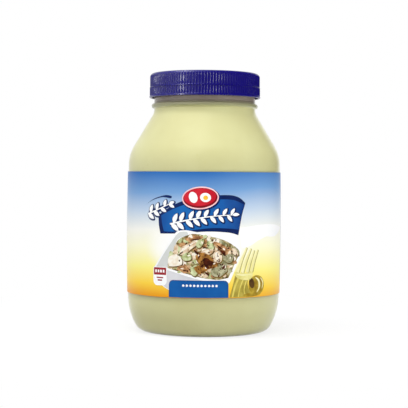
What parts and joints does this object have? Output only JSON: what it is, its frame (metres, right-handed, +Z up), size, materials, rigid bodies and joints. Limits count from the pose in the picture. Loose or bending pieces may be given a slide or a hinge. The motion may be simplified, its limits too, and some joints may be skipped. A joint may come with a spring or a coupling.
{
  "type": "mayonnaise jar",
  "caption": "Clear plastic jar full of pale mayonnaise, with sloping shoulders, a blue ribbed screw lid on its neck and a printed label wrapped round its body.",
  "frame": {"origin": "centre of the jar's foot ring, on the surface that it stands on", "axes": "+Z up along the jar's axis, -Y out of the middle of the label's front, +X to the right of someone facing the label"},
  "size_m": [0.1008, 0.101, 0.1675],
  "materials": {
    "clear_plastic": "clear blown bottle plastic, glossy",
    "mayonnaise": "thick pale cream emulsion, pressed smooth against the wall",
    "label": "coated paper, printed blue to white to gold",
    "lid": "moulded plastic, semi-gloss"
  },
  "bodies": {
    "root": {"jar": "clear_plastic", "mayonnaise": "mayonnaise", "label": "label", "lid": "lid"}
  },
  "joints": []
}
